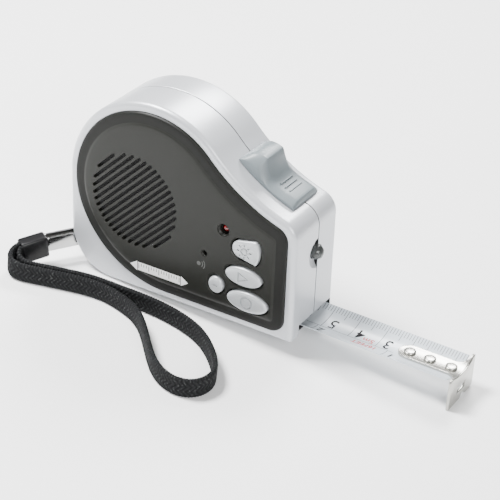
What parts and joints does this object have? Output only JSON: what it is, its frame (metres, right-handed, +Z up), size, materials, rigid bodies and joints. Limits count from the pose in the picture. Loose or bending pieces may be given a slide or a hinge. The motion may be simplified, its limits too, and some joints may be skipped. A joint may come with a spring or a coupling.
{
  "type": "tape measure",
  "caption": "Pocket tape measure with a steel blade, end hook, thumb lock, voice recorder panel, lamp and wrist strap.",
  "frame": {"origin": "on the table, straight under the reel axis as near as the lean allows, in the middle of the case thickness", "axes": "+X towards the hook, along the drawn-out blade; +Y away from the control panel, along the reel axis; +Z up from the table the tool rests on"},
  "size_m": [0.1535, 0.0666, 0.0706],
  "materials": {
    "silver_plastic": "satin silver paint",
    "panel_black": "satin",
    "button_silver": "satin silver paint",
    "mat_rubber": "matte",
    "black_plastic": "matte",
    "board_green": "lacquered",
    "small_steel": "brushed",
    "red_led": "clear red",
    "clear_lamp": "clear",
    "gauze": "fine weave",
    "lead_red": "gloss",
    "white_plastic": "matte",
    "spring_steel": "satin",
    "blade_white": "printed satin lacquer",
    "hook_nickel": "satin nickel plate",
    "lock_grey": "satin",
    "ring_steel": "polished",
    "keeper_black": "satin",
    "strap_webbing": "woven"
  },
  "bodies": {
    "case": {"rear_case": "silver_plastic", "front_case": "silver_plastic", "front_panel": "panel_black", "button_mat": "mat_rubber", "tact_switches": "black_plastic", "circuit_board": "board_green", "board_chips": "black_plastic", "microphone": "small_steel", "record_led": "red_led", "lamp_led": "clear_lamp", "speaker_gauze": "gauze", "speaker_frame": "small_steel", "speaker_cone": "black_plastic", "speaker_magnet": "small_steel", "speaker_leads": "lead_red", "lamp_leads": "lead_red", "battery_holder": "white_plastic", "button_cells": "small_steel", "battery_spring": "spring_steel", "battery_door": "silver_plastic", "reel_divider": "white_plastic", "spindle": "small_steel", "case_screws": "small_steel", "strap_pin": "small_steel", "strap_ring": "ring_steel", "strap_keeper": "keeper_black", "wrist_strap": "strap_webbing"},
    "reel": {"reel_drum": "white_plastic", "mainspring": "spring_steel", "blade_coil": "blade_white"},
    "blade": {"blade_strip": "blade_white", "hook_rivets": "hook_nickel"},
    "hook": {"end_hook": "hook_nickel"},
    "lock": {"lock_button": "lock_grey"},
    "brake": {"brake_arm": "spring_steel", "brake_pad": "black_plastic"},
    "light": {"light_button": "button_silver"},
    "play": {"play_button": "button_silver"},
    "record": {"record_button": "button_silver"},
    "message": {"message_button": "button_silver"}
  },
  "joints": [
    {"name": "reel_spin", "type": "hinge", "parent": "case", "child": "reel", "pos_m": [-0.00266, 0.003, 0.03767], "axis": [0, -1, 0], "range_deg": [-107, 28]},
    {"name": "blade_slide", "type": "slide", "parent": "case", "child": "blade", "axis": [0.9985, 0, 0.0555], "range_m": [-0.0524, 0.0139]},
    {"name": "hook_play", "type": "slide", "parent": "blade", "child": "hook", "axis": [0.9985, 0, 0.0555], "range_m": [-0.0009, 0]},
    {"name": "lock_slide", "type": "hinge", "parent": "case", "child": "lock", "pos_m": [0.06055, 0.0015, 0.10832], "axis": [0, 1, 0], "range_deg": [0, 4]},
    {"name": "brake_lift", "type": "slide", "parent": "case", "child": "brake", "axis": [-0.0729, 0, 0.9973], "range_m": [0, 0.0009]},
    {"name": "light_press", "type": "slide", "parent": "case", "child": "light", "axis": [0, 1, 0], "range_m": [0, 0.0006], "stiffness_N_per_m": 600},
    {"name": "play_press", "type": "slide", "parent": "case", "child": "play", "axis": [0, 1, 0], "range_m": [0, 0.0006], "stiffness_N_per_m": 600},
    {"name": "record_press", "type": "slide", "parent": "case", "child": "record", "axis": [0, 1, 0], "range_m": [0, 0.0006], "stiffness_N_per_m": 600},
    {"name": "message_press", "type": "slide", "parent": "case", "child": "message", "axis": [0, 1, 0], "range_m": [0, 0.0006], "stiffness_N_per_m": 600}
  ],
  "couplings": [
    {"joint": "blade_slide", "follows": "reel_spin", "m_per_rad": 0.028},
    {"joint": "brake_lift", "follows": "lock_slide", "m_per_rad": 0.01146}
  ]
}
